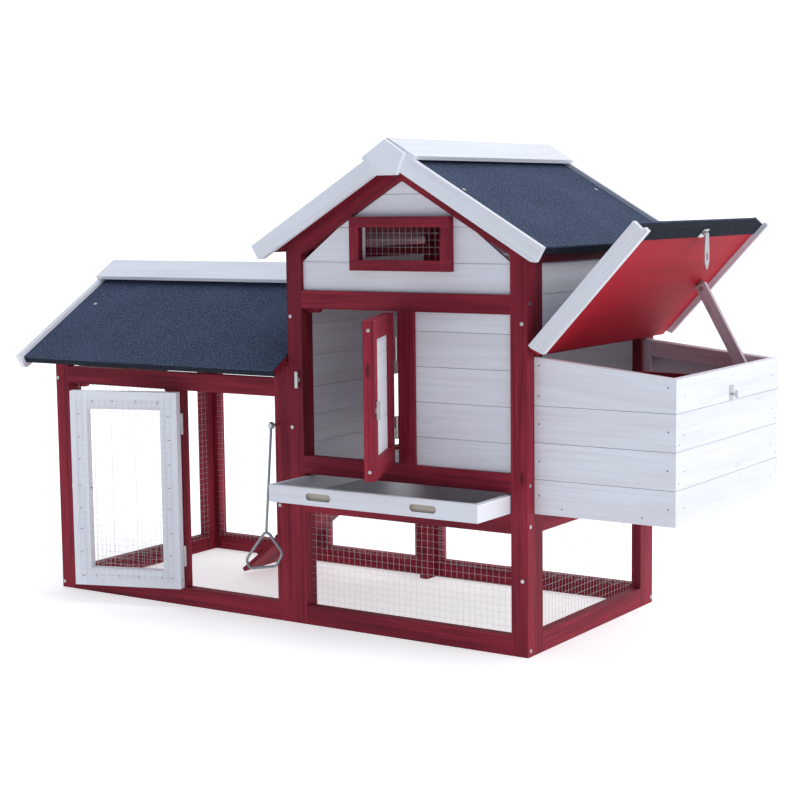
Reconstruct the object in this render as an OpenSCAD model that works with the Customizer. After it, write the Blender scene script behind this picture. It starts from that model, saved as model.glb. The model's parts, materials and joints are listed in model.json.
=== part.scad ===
// Wooden chicken coop: a raised house over a meshed run, with a nest box on its right wall.
// Working axes: x = 0 where the run meets the house, +x towards the nest box,
// y = 0 at the front face, +y to the back, z = 0 at the ground.

/* [House] */
// Width of the house, across the gable
house_w = 535; // [500:5:600]
// Depth of the house and of the run
depth = 520; // [480:5:600]
// Height of the eaves, at the outer face of the side walls
eave_h = 750; // [720:5:800]
// Pitch of both roofs, in degrees
pitch = 30.5; // [28:0.5:32]

/* [Run] */
// Length of the run beside the house
run_l = 628; // [560:4:760]
// Height of the top of the run's rails
run_h = 485; // [470:1:500]

/* [Timber] */
// Face width of the frame timber
stock_w = 35; // [32:1:38]
// Thickness of the frame timber
stock_t = 20; // [18:1:22]
// Thickness of the wall boards
board_t = 9; // [7:1:10]
// Thickness of the roof decks
deck_t = 12; // [10:1:14]
// Thickness of the roofing felt
felt_t = 3; // [2:0.5:4]

/* [Nest box] */
// How far the nest box stands out from the wall
nest_l = 277; // [250:1:300]
// Height of the nest box's underside
nest_z = 262; // [262:1:262]
// Height of the nest box's top edge at the wall
nest_top = 547.5; // [545:0.5:550]
// Fall of the nest box's top edge towards its outer end, in degrees
nest_fall = 5.8; // [5:0.1:6]

/* [Rest positions] */
// Angle by which the run door stands open
run_door_open = 161.5; // [0:0.5:175]
// Angle by which the house door stands open
house_door_open = 114.5; // [0:0.5:150]
// Angle of the propped nest lid above level
lid_open = 47; // [47:1:47]
// How far the dropping tray is pulled out
tray_out = 115; // [0:1:300]

/* [Hidden] */
$fn = 32;

red = [0.42, 0.12, 0.16];
white = [0.86, 0.88, 0.92];
slate = [0.22, 0.26, 0.33];
steel = [0.62, 0.63, 0.65];
wire = [0.72, 0.73, 0.74];

// Hairline left at the joints between timbers
joint = 0.1;
// Thickness of a door's frame, a little under that of the frame round it
door_t = stock_t - 0.4;

// Frame heights
bottom_rail = 38;
floor_rail_z = 226;
floor_z = 262;
sill_rail_z = 301;
sill_z = 336;
lintel_z = 624;
lintel_top = 659;
run_rail_z = run_h - 36;
wall_top = eave_h - stock_w;

// Roof geometry
half_w = house_w / 2;
rise = tan(pitch);
roof_t = deck_t + felt_t;
house_apex = eave_h + half_w * rise;
house_over_front = 28;
house_over_back = 40;
house_slope = (half_w + 31) / cos(pitch);
verge_t = 12;
verge_w = 34;
verge_proud = 8;
house_verge = 359;
run_apex = 666.5;
run_half = depth / 2;
run_slope = (run_half + 35) / cos(pitch);
run_verge = 352;
run_over = 52;
cap_w = 50;
cap_t = 8;

// Run front
run_mid_x = -310;
run_door_x = run_mid_x + stock_w;
run_door_w = -stock_w - run_door_x;

// House front
mid_x = 257.5;

// Doors: hinge lines stand just in front of the closed doors' faces
gap = 2;
leaf_t = 1.4;
pin_r = 1.6;
bore_r = 1.65;
knuckle_r = 3.2;
leaf_h = 42;
run_hinge = [run_door_x + gap / 2, -knuckle_r - 0.3];
house_hinge = [mid_x - 1.6, -knuckle_r - 0.3];
run_hinge_z = [105, 380];
house_hinge_z = [406, 554];
door_stile = 37;

// Nest box
nest_y0 = 25;
nest_y1 = depth - 25;
nest_t = 12;
nest_x1 = house_w + nest_l;
seams = [nest_z, 326, 393, 460];
lid_axis = [house_w + 5, 569];
lid_under = -21.4;
lid_deck_t = 13;
lid_felt_t = 4;
lid_len = 304;
lid_hinge_y = [110, depth - 110];
strap_pin = [291, -28.6];
strap_y = 264;

// Lid prop
prop_w = 22;
prop_t = 11;
prop_len = 177;
prop_lean = -60.5;
prop_pin = [147, -37];
prop_y = nest_y1 - nest_t - 12 - 14;
prop_pin_r = 2.5;

// Tray
tray_w = house_w - 2 * stock_w - 3;
tray_l = depth - 32;
tray_h = 33;
tray_x = stock_w + 1.5;

// Pop hole in the left wall, and its ramp
pop_y0 = 312;
pop_y1 = 472;
pop_top = 466;
ramp_foot = -372;
ramp_w = 170;
ramp_t = 9;
ramp_end = -21;

// The whole coop is centred over the origin
left_end = -run_l - run_over - verge_t;
right_end = nest_x1 + 14;
door_reach = -200;
back_end = depth + house_over_back + verge_t;
mid = [(left_end - 2 + right_end) / 2, (door_reach + back_end) / 2];

// ---------- helpers ----------

module coop(tint) translate([-mid[0], -mid[1], 0]) color(tint) children();

// A box between two corners
module bar(a, b) translate(a) cube(b - a);

// An outline in the x-z plane, given thickness from y0 to y1
module along_y(points, y0, y1) translate([0, y1, 0]) rotate([90, 0, 0]) linear_extrude(y1 - y0) polygon(points);

// An outline in the y-z plane, given thickness from x0 to x1
module along_x(points, x0, x1) translate([x0, 0, 0]) rotate([90, 0, 90]) linear_extrude(x1 - x0) polygon(points);

// A thin sheet of mesh with its normal along y or x
module mesh_y(x0, x1, z0, z1, y) bar([x0, y, z0], [x1, y + 1.2, z1]);
module mesh_x(y0, y1, z0, z1, x) bar([x, y0, z0], [x + 1.2, y1, z1]);

// Turn about a vertical or a level line
module turn_z(at, angle) translate([at[0], at[1], 0]) rotate([0, 0, angle]) translate([-at[0], -at[1], 0]) children();
module turn_y(at, angle) translate([at[0], 0, at[1]]) rotate([0, angle, 0]) translate([-at[0], 0, -at[1]]) children();

module in_run_door() turn_z(run_hinge, -run_door_open) children();
module in_house_door() turn_z(house_hinge, house_door_open) children();

// Lid parts are drawn with x along the lid from its hinge line and z square to it
module in_lid() translate([lid_axis[0], 0, lid_axis[1]]) rotate([0, -lid_open, 0]) children();

// Height of the nest box's top edge at a distance from the wall
function nest_edge(d) = nest_top - d * tan(nest_fall);

// Height of the underside of the house roof and of the run roof
function house_under(x) = house_apex - abs(x - half_w) * rise;
function run_under(y) = run_apex - abs(y - run_half) * rise;

// One slope of a gable roof along y: a slab over the distance d0..d1 from the ridge,
// measured down the slope, and h0..h1 square to the roof's underside
function slab(side, apex_x, apex_z, d0, d1, h0, h1) = [
    for (p = [[d0, h0], [d1, h0], [d1, h1], [d0, h1]])
        [apex_x + side * (p[0] * cos(pitch) + p[1] * sin(pitch)),
         apex_z - p[0] * sin(pitch) + p[1] * cos(pitch)]
];
// A slab whose ridge end is cut upright, so that the two slopes meet in the middle
function half_slab(side, apex_x, apex_z, d1, h0, h1) = [
    [apex_x + side * 0.2, apex_z + h0 / cos(pitch) - 0.2 * rise],
    slab(side, apex_x, apex_z, 0, d1, h0, h1)[1],
    slab(side, apex_x, apex_z, 0, d1, h0, h1)[2],
    [apex_x + side * 0.2, apex_z + h1 / cos(pitch) - 0.2 * rise]
];
// A bargeboard, with its lower corner cut level
function verge(side, apex_x, apex_z, len, top, w) = let (
        s = slab(side, apex_x, apex_z, 0, len, top - w, top),
        c = 9
    ) [
    [apex_x + side * 0.2, apex_z + (top - w) / cos(pitch) - 0.2 * rise],
    s[1] + c * [-side * cos(pitch), sin(pitch)],
    s[1] + c * 0.45 * [side * sin(pitch), cos(pitch)],
    s[2],
    [apex_x + side * 0.2, apex_z + top / cos(pitch) - 0.2 * rise]
];

// A round pin or knuckle along z or along y
module pin_z(at, z0, z1, r) translate([at[0], at[1], z0]) cylinder(r = r, h = z1 - z0);
module pin_y(x, z, y0, y1, r) translate([x, y1, z]) rotate([90, 0, 0]) cylinder(r = r, h = y1 - y0);

// The knuckle of an upright hinge, bored for its pin, and the leaf beside it
module knuckle_z(at, z0, z1) difference() {
    pin_z(at, z0, z1, knuckle_r);
    pin_z(at, z0 - 1, z1 + 1, bore_r);
}

// A leaf let in between a door's edge and its stile, with its half of the knuckle
module edge_leaf(x, z, knuckle_from) difference() {
    union() {
        pin_z(house_hinge, knuckle_from, knuckle_from + leaf_h / 2 - 0.3, knuckle_r);
        bar([x, -3, knuckle_from], [x + 1.2, 0.2, knuckle_from + leaf_h / 2 - 0.3]);
        bar([x, 0.1, z - leaf_h / 2], [x + 1.2, 18, z + leaf_h / 2]);
    }
    pin_z(house_hinge, z - leaf_h, z + leaf_h, bore_r);
}

// Head of a screw, on a face that looks towards -y, +x or +y
module head_front(x, z) translate([x, 0, z]) rotate([90, 0, 0]) cylinder(r = 3.6, h = 1.2);
module head_right(y, z) translate([house_w, y, z]) rotate([0, 90, 0]) cylinder(r = 3.6, h = 1.2);

// ---------- run ----------

// Three stiles and two rails. The outer stiles run up to the roof.
module run_side_frame(y) {
    top = run_under(y == 0 ? 0 : depth) - 2;
    for (x = [-run_l, -stock_w]) bar([x, y, 0], [x + stock_w, y + stock_t, top]);
    bar([run_mid_x, y, bottom_rail + joint], [run_mid_x + stock_w, y + stock_t, run_rail_z - joint]);
    for (z = [[0, bottom_rail], [run_rail_z, run_h]])
        bar([-run_l + stock_w + joint, y, z[0]], [-stock_w - joint, y + stock_t, z[1]]);
}
module run_front_frame() coop(red) run_side_frame(0);
module run_back_frame() coop(red) run_side_frame(depth - stock_t);

// Left-hand end: two stiles, two rails and the rafters of its gable
module run_end_frame() coop(red) {
    x0 = -run_l;
    x1 = x0 + stock_t;
    for (y = [stock_t, depth - stock_t - stock_w])
        bar([x0, y, 0], [x1, y + stock_w, run_rail_z - 4 - joint]);
    bar([x0, stock_t + stock_w + joint, 0], [x1, depth - stock_t - stock_w - joint, bottom_rail]);
    bar([x0, stock_t, run_rail_z - 4], [x1, depth - stock_t, run_h - 6]);
    for (side = [-1, 1]) along_x([
        [run_half + side * 0.2, run_apex - 1],
        [run_half + side * (run_half - stock_t), run_under(stock_t) - 1],
        [run_half + side * (run_half - stock_t), run_under(stock_t) - 20],
        [run_half + side * 0.2, run_apex - 30]
    ], x0, x1);
}

// Mesh stapled to the inner faces of the frames, 8 mm over every edge
module run_meshes() coop(wire) {
    mesh_y(-run_l + stock_w - 8, run_mid_x + 8, bottom_rail - 8, run_rail_z + 8, stock_t + 0.3);
    mesh_y(-run_l + stock_w - 8, run_mid_x + 8, bottom_rail - 8, run_rail_z + 8, depth - stock_t - 1.5);
    mesh_y(run_mid_x + stock_w - 8, -stock_w + 8, bottom_rail - 8, run_rail_z + 8, depth - stock_t - 1.5);
    mesh_x(stock_t + stock_w - 8, depth - stock_t - stock_w + 8, bottom_rail - 8, run_rail_z + 2,
        -run_l + stock_t + 0.3);
    along_x([[stock_t + 50, run_h - 12], [depth - stock_t - 50, run_h - 12], [run_half, run_apex - 26]],
        -run_l + stock_t + 0.3, -run_l + stock_t + 1.5);
}

// The run's roof slopes to the front and to the back
module run_slopes(x0, x1, h0, h1, len) for (side = [-1, 1])
    along_x(half_slab(side, run_half, run_apex, len, h0, h1), x0, x1);
module run_roof_decks() coop("tan") run_slopes(-run_l - run_over, -6, 0, deck_t, run_slope - 2);
module run_roof_felts() coop(slate) {
    run_slopes(-run_l - run_over, -6, deck_t + 0.05, roof_t, run_slope);
    for (side = [-1, 1]) along_x(slab(side, run_half, run_apex, run_slope - 1.9, run_slope, 0, deck_t),
        -run_l - run_over, -6);
}
module run_bargeboards() coop(white) for (side = [-1, 1])
    along_x(verge(side, run_half, run_apex, run_verge, roof_t + verge_proud, verge_w),
        left_end, left_end + verge_t);
module run_ridge_cap() coop(white) for (side = [-1, 1])
    along_x(half_slab(side, run_half, run_apex, cap_w, roof_t + verge_proud + 0.1,
        roof_t + verge_proud + cap_t), left_end - 2, -1);

// ---------- run door ----------

module run_door_frame() coop(white) in_run_door() {
    x0 = run_door_x + gap;
    x1 = run_door_x + run_door_w - gap;
    z0 = bottom_rail + gap;
    z1 = run_rail_z - gap;
    for (x = [x0, x1 - door_stile]) bar([x, 0, z0], [x + door_stile, door_t, z1]);
    for (z = [z0, z1 - door_stile])
        bar([x0 + door_stile + joint, 0, z], [x1 - door_stile - joint, door_t, z + door_stile]);
}
module run_door_mesh() coop(wire) in_run_door()
    mesh_y(run_door_x + 16, -stock_w - 16, bottom_rail + 18, run_rail_z - 18, door_t + 0.1);

// The door's leaf covers the upper half of each knuckle
module run_door_leaves() coop(steel) in_run_door() for (z = run_hinge_z) {
    knuckle_z(run_hinge, z + 0.3, z + leaf_h / 2);
    bar([run_hinge[0], -leaf_t - 0.05, z + 0.3], [run_hinge[0] + 25, -0.05, z + leaf_h / 2]);
    bar([run_hinge[0] + 3.4, -leaf_t - 0.05, z - leaf_h / 2], [run_hinge[0] + 25, -0.05, z + 0.4]);
}
// Turn button on the door's outer face, near its free edge
module run_door_button() coop(steel) in_run_door() {
    x = -stock_w - gap - 18;
    z = 243;
    translate([x, -0.1, z]) rotate([90, 0, 0]) cylinder(r = 7, h = 3);
    bar([x - 5, -6.2, z - 5], [x + 30, -3.2, z + 5]);
}

// ---------- house frames ----------

// Front and back walls share one layout of stiles, rails and rafters
module house_end_frame(y, with_mid) {
    for (x = [0, house_w - stock_w]) {
        outer = x == 0 ? 0 : house_w;
        inner = x == 0 ? stock_w : house_w - stock_w;
        along_y([[outer, 0], [inner, 0], [inner, house_under(inner) - 1], [outer, house_under(outer) - 1]],
            y, y + stock_t);
    }
    for (z = [[0, bottom_rail], [floor_rail_z, floor_z], [sill_rail_z, sill_z], [lintel_z, lintel_top]])
        bar([stock_w + joint, y, z[0]], [house_w - stock_w - joint, y + stock_t, z[1]]);
    if (with_mid) bar([mid_x, y, sill_z + joint], [mid_x + stock_w, y + stock_t, lintel_z - joint]);
    rafter = stock_w / cos(pitch);
    for (side = [-1, 1]) along_y([
        [half_w + side * 0.1, house_apex - 1],
        [half_w + side * (half_w - stock_w - joint), house_under(stock_w) - 1],
        [half_w + side * (half_w - stock_w - joint), house_under(stock_w) - rafter],
        [half_w + side * 0.1, house_apex - rafter]
    ], y, y + stock_t);
}
module house_front_frame() coop(red) house_end_frame(0, true);
module house_back_frame() coop(red) house_end_frame(depth - stock_t, false);

// Side walls stand between the front and the back walls
module house_side_frame(x, rails) {
    for (y = [stock_t, depth - stock_t - stock_w])
        bar([x, y, 0], [x + stock_t, y + stock_w, wall_top - joint]);
    for (z = rails)
        bar([x, stock_t + stock_w + joint, z[0]], [x + stock_t, depth - stock_t - stock_w - joint, z[1]]);
    bar([x, stock_t, wall_top], [x + stock_t, depth - stock_t, eave_h - 14]);
}
module house_left_frame() coop(red)
    house_side_frame(0, [[floor_rail_z, floor_z]]);
module house_right_frame() coop(red)
    house_side_frame(house_w - stock_t, [[0, bottom_rail], [floor_rail_z, floor_z], [549, 584]]);

// ---------- house boards ----------

// A stack of boards facing along y, from z0 to z1, parted at the seams
module stack_y(x0, x1, cuts, y) for (i = [0 : len(cuts) - 2])
    bar([x0, y, cuts[i] + 0.4], [x1, y + board_t, cuts[i + 1] - 0.4]);
module stack_x(y0, y1, cuts, x) for (i = [0 : len(cuts) - 2])
    bar([x, y0, cuts[i] + 0.4], [x + board_t, y1, cuts[i + 1] - 0.4]);

board_y = 8;
panel_cuts = [sill_z, 390, 456, 522, 588, lintel_z];
module front_panel_boards() coop(white)
    stack_y(mid_x + stock_w + 0.3, house_w - stock_w - 0.3, panel_cuts, board_y);

// Gable boards end against the rafters
gable_cuts = [lintel_top, 714, 780, 841, 866];
function gable_half(z) = max(1, (house_apex - stock_w / cos(pitch) - 1 - z) / rise);
module gable_boards(y, y_depth) for (i = [0 : len(gable_cuts) - 2]) {
    z0 = gable_cuts[i] + 0.4;
    z1 = min(gable_cuts[i + 1] - 0.4, house_apex - stock_w / cos(pitch) - 3);
    h0 = min(gable_half(z0), half_w - stock_w - 0.3);
    h1 = min(gable_half(z1), half_w - stock_w - 0.3);
    along_y([[half_w - h0, z0], [half_w + h0, z0], [half_w + h1, z1], [half_w - h1, z1]], y, y + y_depth);
}
window_x = 266.5;
window_z = 749.5;
window_w = 222;
window_h = 101;
window_bar = 20;
module front_gable_boards() coop(white) difference() {
    gable_boards(board_y, board_t);
    bar([window_x - window_w / 2 + window_bar, 0, gable_cuts[1]],
        [window_x + window_w / 2 - window_bar, 30, gable_cuts[2]]);
}
module back_wall_boards() coop(white) {
    gable_boards(depth - board_y - board_t, board_t);
    stack_y(stock_w + 0.3, house_w - stock_w - 0.3, panel_cuts, depth - board_y - board_t);
}
module window_frame() coop(red) {
    x0 = window_x - window_w / 2;
    x1 = window_x + window_w / 2;
    z0 = window_z - window_h / 2;
    z1 = window_z + window_h / 2;
    for (z = [z0, z1 - window_bar]) bar([x0, -8, z], [x1, board_y - 0.1, z + window_bar]);
    for (x = [x0, x1 - window_bar])
        bar([x, -8, z0 + window_bar + joint], [x + window_bar, board_y - 0.1, z1 - window_bar - joint]);
}
module window_mesh() coop(wire)
    mesh_y(window_x - window_w / 2 + 14, window_x + window_w / 2 - 14,
        window_z - window_h / 2 + 14, window_z + window_h / 2 - 14, board_y + board_t + 0.2);

// Left wall: boards inside the frame, with the pop hole cut through the lowest ones
side_cuts = [floor_z, sill_rail_z, 356, 411, pop_top, 528, 590, 652, wall_top];
module left_wall_boards() coop(white) difference() {
    stack_x(stock_t + stock_w + 0.3, depth - stock_t - stock_w - 0.3, side_cuts, 9);
    bar([0, pop_y0, sill_rail_z], [30, pop_y1 - 8, pop_top]);
}
module right_wall_boards() coop(white)
    stack_x(stock_t + stock_w + 0.3, depth - stock_t - stock_w - 0.3, [584, 658, wall_top],
        house_w - 6 - board_t);

// Meshes round the space under the house
module house_meshes() coop(wire) {
    for (y = [stock_t + 0.3, depth - stock_t - 1.5])
        mesh_y(stock_w - 8, house_w - stock_w + 8, bottom_rail - 8, floor_rail_z + 8, y);
    mesh_x(stock_t + stock_w - 8, depth - stock_t - stock_w + 8, bottom_rail - 8, floor_rail_z + 8,
        house_w - stock_t - 1.5);
}

// Small blocks in the upper corners of the openings, which stop the doors
module corner_block(x, z, w, side, y0 = stock_t) along_y([
    [x - side * 12, z + 14], [x + side * w, z + 14], [x + side * w, z - 5],
    [x + side * (w - 4), z - 9], [x - side * 12, z - 9]
], y0, stock_t + 14);
module corner_blocks() coop(red) {
    corner_block(stock_w, lintel_z, 26, 1);
    corner_block(-run_l + stock_w + 10, run_rail_z, 20, 1, stock_t + 1.8);
    corner_block(run_mid_x, run_rail_z, 30, -1, stock_t + 1.8);
    corner_block(-stock_w, run_rail_z, 14, -1);
}

// ---------- house roof ----------

module house_slopes(y0, y1, h0, h1, len) for (side = [-1, 1])
    along_y(half_slab(side, half_w, house_apex, len, h0, h1), y0, y1);
module house_roof_decks() coop("tan")
    house_slopes(-house_over_front, depth + house_over_back, 0, deck_t, house_slope - 2);
module house_roof_felts() coop(slate) {
    house_slopes(-house_over_front, depth + house_over_back, deck_t + 0.05, roof_t, house_slope);
    for (side = [-1, 1]) along_y(slab(side, half_w, house_apex, house_slope - 1.9, house_slope, 0, deck_t),
        -house_over_front, depth + house_over_back);
}
module house_bargeboards() coop(white) for (side = [-1, 1])
    for (y = [-house_over_front - verge_t, depth + house_over_back])
        along_y(verge(side, half_w, house_apex, house_verge, roof_t + verge_proud, verge_w), y, y + verge_t);
module house_ridge_cap() coop(white) for (side = [-1, 1])
    along_y(half_slab(side, half_w, house_apex, cap_w, roof_t + verge_proud + 0.1,
        roof_t + verge_proud + cap_t), -house_over_front - verge_t, depth + house_over_back + verge_t);

// Five-sided plates over the peaks of the bargeboards
module finials() coop(white) {
    peak = house_apex + (roof_t + verge_proud) / cos(pitch) + 6;
    plate = [[half_w, peak], [half_w + 41, peak - 26], [half_w + 24, peak - 65],
        [half_w - 24, peak - 65], [half_w - 41, peak - 26]];
    along_y(plate, -house_over_front - verge_t - 12.1, -house_over_front - verge_t - 0.1);
    along_y(plate, back_end + 0.1, back_end + 12.1);
}

// ---------- house door ----------

module house_door_frame() coop(red) in_house_door() {
    x0 = stock_w + gap;
    x1 = mid_x - 3.2;
    z0 = sill_z + gap;
    z1 = lintel_z - gap;
    for (x = [x0, x1 - stock_w]) bar([x, 0, z0], [x + stock_w, door_t, z1]);
    for (z = [z0, z1 - stock_w])
        bar([x0 + stock_w + joint, 0, z], [x1 - stock_w - joint, door_t, z + stock_w]);
}
module house_door_boards() coop(white) in_house_door()
    stack_y(stock_w * 2 + gap + 0.3, mid_x - 3.5 - stock_w, [sill_z + stock_w + gap, 438, 505, 556,
        lintel_z - stock_w - gap], board_y);

// Leaves in the gap between the door's edge and the stile
module house_door_leaves() coop(steel) in_house_door() for (z = house_hinge_z) edge_leaf(mid_x - 3.15, z, z + 0.3);
// Catch on the outer face of the door: a plate with a raised wing
module wing(x, y, z) {
    translate([x, y, z]) rotate([90, 0, 0]) cylinder(r = 5.5, h = 2);
    bar([x - 3.5, y - 7, z - 16], [x + 3.5, y - 2, z + 16]);
}
module house_door_catch() coop(steel) in_house_door() wing(stock_w + gap + 14, -0.1, 463);
module house_door_button() coop(steel) wing(24, -0.1, 485);

// ---------- hinge parts that stay with the frames ----------

module fixed_hinge_leaves() coop(steel) {
    for (z = run_hinge_z) {
        knuckle_z(run_hinge, z - leaf_h / 2, z - 0.3);
        bar([run_hinge[0] - 25, -leaf_t - 0.05, z - leaf_h / 2], [run_hinge[0], -0.05, z - 0.3]);
        bar([run_hinge[0] - 25, -leaf_t - 0.05, z - 0.4], [run_hinge[0] - 3.4, -0.05, z + leaf_h / 2]);
    }
    for (z = house_hinge_z) {
        edge_leaf(mid_x - 1.25, z, z - leaf_h / 2);
    }
    for (y = lid_hinge_y) {
        difference() {
            pin_y(lid_axis[0], lid_axis[1], y - 25, y - 0.3, knuckle_r);
            pin_y(lid_axis[0], lid_axis[1], y - 26, y + 1, bore_r);
        }
        bar([house_w + 0.05, y - 25, lid_axis[1] + 2.4], [house_w + 0.05 + leaf_t, y + 25, lid_axis[1] + 15]);
        bar([house_w + 0.05, y - 25, lid_axis[1] - 1], [house_w + 2.2, y - 0.3, lid_axis[1] + 2.5]);
    }
}
module hinge_pins() coop(steel) {
    for (z = run_hinge_z) pin_z(run_hinge, z - leaf_h / 2 - 1, z + leaf_h / 2 + 1, pin_r);
    for (z = house_hinge_z) pin_z(house_hinge, z - leaf_h / 2 - 1, z + leaf_h / 2 + 1, pin_r);
    for (y = lid_hinge_y) pin_y(lid_axis[0], lid_axis[1], y - 26, y + 26, pin_r);
}

// ---------- dropping tray ----------

module tray_runners() coop(red) for (x = [stock_t + 0.1, house_w - stock_t - 25.1])
    bar([x, stock_t, floor_z - 16], [x + 25, depth - stock_t, floor_z]);

module slot_cut(x) {
    z = floor_z + 1.5 + tray_h / 2;
    bar([x - 21.5, -1, z - 7], [x + 21.5, 6, z + 7]);
    for (s = [-21.5, 21.5]) translate([x + s, 6, z]) rotate([90, 0, 0]) cylinder(r = 7, h = 7);
}
module tray_frame() coop(white) translate([0, -tray_out, 0]) {
    z0 = floor_z + 1.5;
    z1 = z0 + tray_h;
    difference() {
        bar([tray_x, 0, z0], [tray_x + tray_w, 12, z1]);
        for (s = [-116, 116]) slot_cut(half_w + s);
    }
    bar([tray_x, tray_l - 12, z0], [tray_x + tray_w, tray_l, z1]);
    for (x = [tray_x, tray_x + tray_w - 12]) bar([x, 12 + joint, z0], [x + 12, tray_l - 12 - joint, z1]);
}
module tray_sheet() coop(steel) translate([0, -tray_out, 0])
    bar([tray_x + 12.1, 12.1, floor_z + 3], [tray_x + tray_w - 12.1, tray_l - 12.1, floor_z + 4.2]);

// ---------- nest box ----------

// Side boards: the top one follows the falling edge
module nest_side(y) {
    for (i = [0 : 2]) bar([house_w, y, seams[i] + 0.4], [nest_x1, y + nest_t, seams[i + 1] - 0.4]);
    along_y([[house_w, seams[3] + 0.4], [nest_x1, seams[3] + 0.4],
        [nest_x1, nest_edge(nest_l)], [house_w, nest_edge(0)]], y, y + nest_t);
}
module nest_near_boards() coop(white) nest_side(nest_y0);
module nest_far_boards() coop(white) nest_side(nest_y1 - nest_t);
module nest_end_boards() coop(white) {
    y0 = nest_y0 + nest_t;
    y1 = nest_y1 - nest_t;
    for (i = [0 : 2]) bar([nest_x1 - nest_t, y0, seams[i] + 0.4], [nest_x1, y1, seams[i + 1] - 0.4]);
    along_y([[nest_x1 - nest_t, seams[3] + 0.4], [nest_x1, seams[3] + 0.4],
        [nest_x1, nest_edge(nest_l)], [nest_x1 - nest_t, nest_edge(nest_l - nest_t)]], y0, y1);
}
module nest_floor() coop(white)
    bar([house_w + 0.2, nest_y0 + nest_t, nest_z], [nest_x1 - nest_t, nest_y1 - nest_t, nest_z + 10]);
module nest_divider() coop(red)
    bar([house_w + 0.2, depth / 2 - 6, nest_z + 10], [nest_x1 - nest_t, depth / 2 + 6, 505]);

// Upright corner cleats, and a batten under each sloping edge
module nest_cleats() coop(white) for (y = [nest_y0 + nest_t, nest_y1 - nest_t - 12]) {
    bar([house_w, y, nest_z + 10], [house_w + 18, y + 12, 545]);
    bar([nest_x1 - nest_t - 18, y, nest_z + 10], [nest_x1 - nest_t, y + 12, 484]);
    along_y([[house_w + 18.2, nest_edge(18) - 32], [nest_x1 - nest_t, nest_edge(nest_l - nest_t) - 32],
        [nest_x1 - nest_t, nest_edge(nest_l - nest_t) - 1], [house_w + 18.2, nest_edge(18) - 1]], y, y + 12);
}

module lid_deck() coop(red) in_lid()
    bar([0, -2, lid_under], [lid_len - 3, depth + 2, lid_under + lid_deck_t]);
module lid_felt() coop(slate) in_lid() {
    top = lid_under + lid_deck_t;
    bar([0, -2, top + 0.05], [lid_len, depth + 2, top + lid_felt_t]);
    bar([lid_len - 2.9, -2, lid_under - 2], [lid_len, depth + 2, top]);
    bar([lid_len - 26, -2, lid_under - 2], [lid_len - 3, depth + 2, lid_under - 0.05]);
}
module lid_bargeboards() coop(white) in_lid() for (y = [-14.1, depth + 2.1]) along_y([
    [5, -9], [5, -1.4], [lid_len, -1.4], [lid_len, -24], [lid_len + 6, -24], [lid_len + 6, -33], [14, -33]
], y, y + 12);
module lid_leaves() coop(steel) in_lid() for (y = lid_hinge_y) {
    z = lid_under + lid_deck_t + lid_felt_t;
    difference() {
        pin_y(0, 0, y + 0.3, y + 25, knuckle_r);
        pin_y(0, 0, y - 1, y + 26, bore_r);
    }
    bar([3.6, y - 25, z + 0.05], [24, y + 25, z + 0.05 + leaf_t]);
    bar([0.5, y + 0.3, z + 0.05], [3.7, y + 25, z + 0.05 + leaf_t]);
}

// Prop: it hangs from a pin under the lid, and its foot stands in the far corner of the nest box
prop_at = [lid_axis[0] + prop_pin[0] * cos(lid_open) - prop_pin[1] * sin(lid_open),
    lid_axis[1] + prop_pin[0] * sin(lid_open) + prop_pin[1] * cos(lid_open)];
module lid_prop() coop(white) translate([prop_at[0], 0, prop_at[1]]) rotate([0, -prop_lean, 0])
    difference() {
        bar([-9, prop_y, -prop_w / 2], [prop_len, prop_y + prop_t, prop_w / 2]);
        pin_y(0, 0, prop_y - 1, prop_y + prop_t + 1, prop_pin_r + 0.05);
    }

// Under the lid: a lug with the pin that holds the prop, and the plate with the pin of the hasp
module lid_fittings() coop(steel) in_lid() {
    bar([prop_pin[0] - 9, prop_y + prop_t + 0.5, prop_pin[1] - 5],
        [prop_pin[0] + 9, prop_y + prop_t + 2, lid_under - 0.05]);
    pin_y(prop_pin[0], prop_pin[1], prop_y - 0.4, prop_y + prop_t + 1, prop_pin_r);
    pin_y(prop_pin[0], prop_pin[1], prop_y - 2, prop_y - 0.35, 5);
    x = strap_pin[0];
    z = lid_under - 2;
    bar([x - 12, strap_y - 12, z - 1.5], [x + 8, strap_y + 12, z - 0.05]);
    for (y = [strap_y - 12, strap_y + 8])
        bar([x - 1.6, y, strap_pin[1] + 1.4], [x + 1.6, y + 4, z - 1.4]);
    pin_y(x, strap_pin[1], strap_y - 12, strap_y + 12, pin_r);
}
strap_at = [lid_axis[0] + strap_pin[0] * cos(lid_open) - strap_pin[1] * sin(lid_open),
    lid_axis[1] + strap_pin[0] * sin(lid_open) + strap_pin[1] * cos(lid_open)];
module hasp_strap() coop(steel) translate([strap_at[0], 0, strap_at[1]]) difference() {
    union() {
        pin_y(0, 0, strap_y - 7.6, strap_y + 7.6, 2.8);
        along_x([[strap_y - 7.6, 0], [strap_y + 7.6, 0], [strap_y + 10, -28], [strap_y + 10, -50],
            [strap_y + 3, -64], [strap_y - 3, -64], [strap_y - 10, -50], [strap_y - 10, -28]], 1.2, 2.8);
    }
    pin_y(0, 0, strap_y - 9, strap_y + 9, bore_r);
    bar([-1, strap_y - 3, -48], [4, strap_y + 3, -34]);
}
staple_z = 472;
module hasp_staple() coop(steel) {
    translate([nest_x1 + 0.3, strap_y, staple_z]) rotate([0, 90, 0]) cylinder(r = 2.4, h = 8);
    bar([nest_x1 + 8, strap_y - 2.2, staple_z - 6.5], [nest_x1 + 12, strap_y + 2.2, staple_z + 6.5]);
}

// ---------- pop hole, ramp and pull rod ----------

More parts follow.
